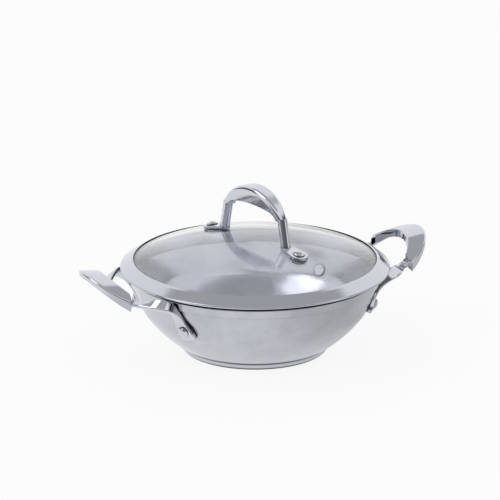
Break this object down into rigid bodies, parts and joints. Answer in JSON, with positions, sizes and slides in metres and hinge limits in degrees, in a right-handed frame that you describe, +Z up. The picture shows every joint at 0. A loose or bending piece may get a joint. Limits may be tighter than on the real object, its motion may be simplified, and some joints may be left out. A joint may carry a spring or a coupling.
{
  "type": "kadai with lid",
  "caption": "Round-bottomed stainless steel cooking pan with two riveted loop handles and a domed glass lid that lifts off.",
  "frame": {"origin": "middle of the flat base, on the surface that the pan stands on", "axes": "+X out through one side handle, +Z up along the bowl's axis, which is the way the lid lifts"},
  "size_m": [0.3378, 0.245, 0.1535],
  "materials": {
    "satin_steel": "satin",
    "polished_steel": "polished",
    "plain_steel": "plain",
    "aluminium": "as pressed",
    "tempered_glass": "clear",
    "silicone": "clear matt"
  },
  "bodies": {
    "pan": {"bowl_shell": "satin_steel", "base_core": "aluminium", "base_cap": "polished_steel", "handle_right": "polished_steel", "handle_left": "polished_steel", "right_front_rivet": "polished_steel", "right_rear_rivet": "polished_steel", "left_front_rivet": "polished_steel", "left_rear_rivet": "polished_steel"},
    "lid": {"lid_glass": "tempered_glass", "lid_rim": "polished_steel", "lid_handle": "polished_steel", "lid_front_rivet": "polished_steel", "lid_rear_rivet": "polished_steel", "front_upper_gasket": "silicone", "rear_upper_gasket": "silicone", "front_lower_gasket": "silicone", "rear_lower_gasket": "silicone", "front_washer": "plain_steel", "rear_washer": "plain_steel"}
  },
  "joints": [
    {"name": "lid_lift", "type": "slide", "parent": "pan", "child": "lid", "axis": [0, 0, 1], "range_m": [0, 0.12]}
  ]
}
